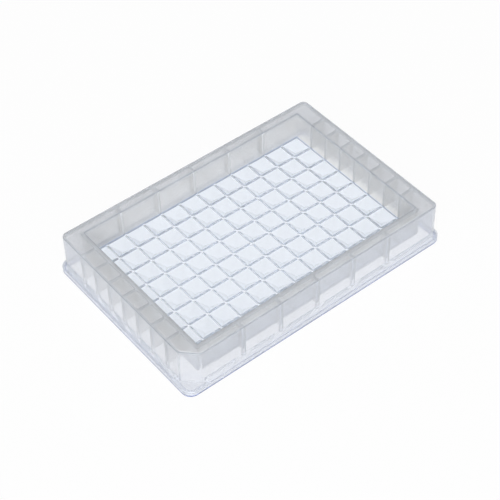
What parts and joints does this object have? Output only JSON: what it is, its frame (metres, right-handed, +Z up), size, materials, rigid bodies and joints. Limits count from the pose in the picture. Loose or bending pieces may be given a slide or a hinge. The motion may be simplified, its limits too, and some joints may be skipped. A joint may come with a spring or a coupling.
{
  "type": "reservoir well plate",
  "caption": "Low open reservoir plate in the standard microplate footprint: one shallow rectangular well with a pyramid-cell floor, a ribbed hollow skirt and a notched corner.",
  "frame": {"origin": "middle of the base, on the surface the plate stands on", "axes": "+X along the plate's length, +Y across it, +Z up out of the well; the notched corner is at -X, -Y"},
  "size_m": [0.1278, 0.0854, 0.0191],
  "materials": {
    "polypropylene": "satin, natural translucent"
  },
  "bodies": {
    "root": {"reservoir_plate": "polypropylene"}
  },
  "joints": []
}
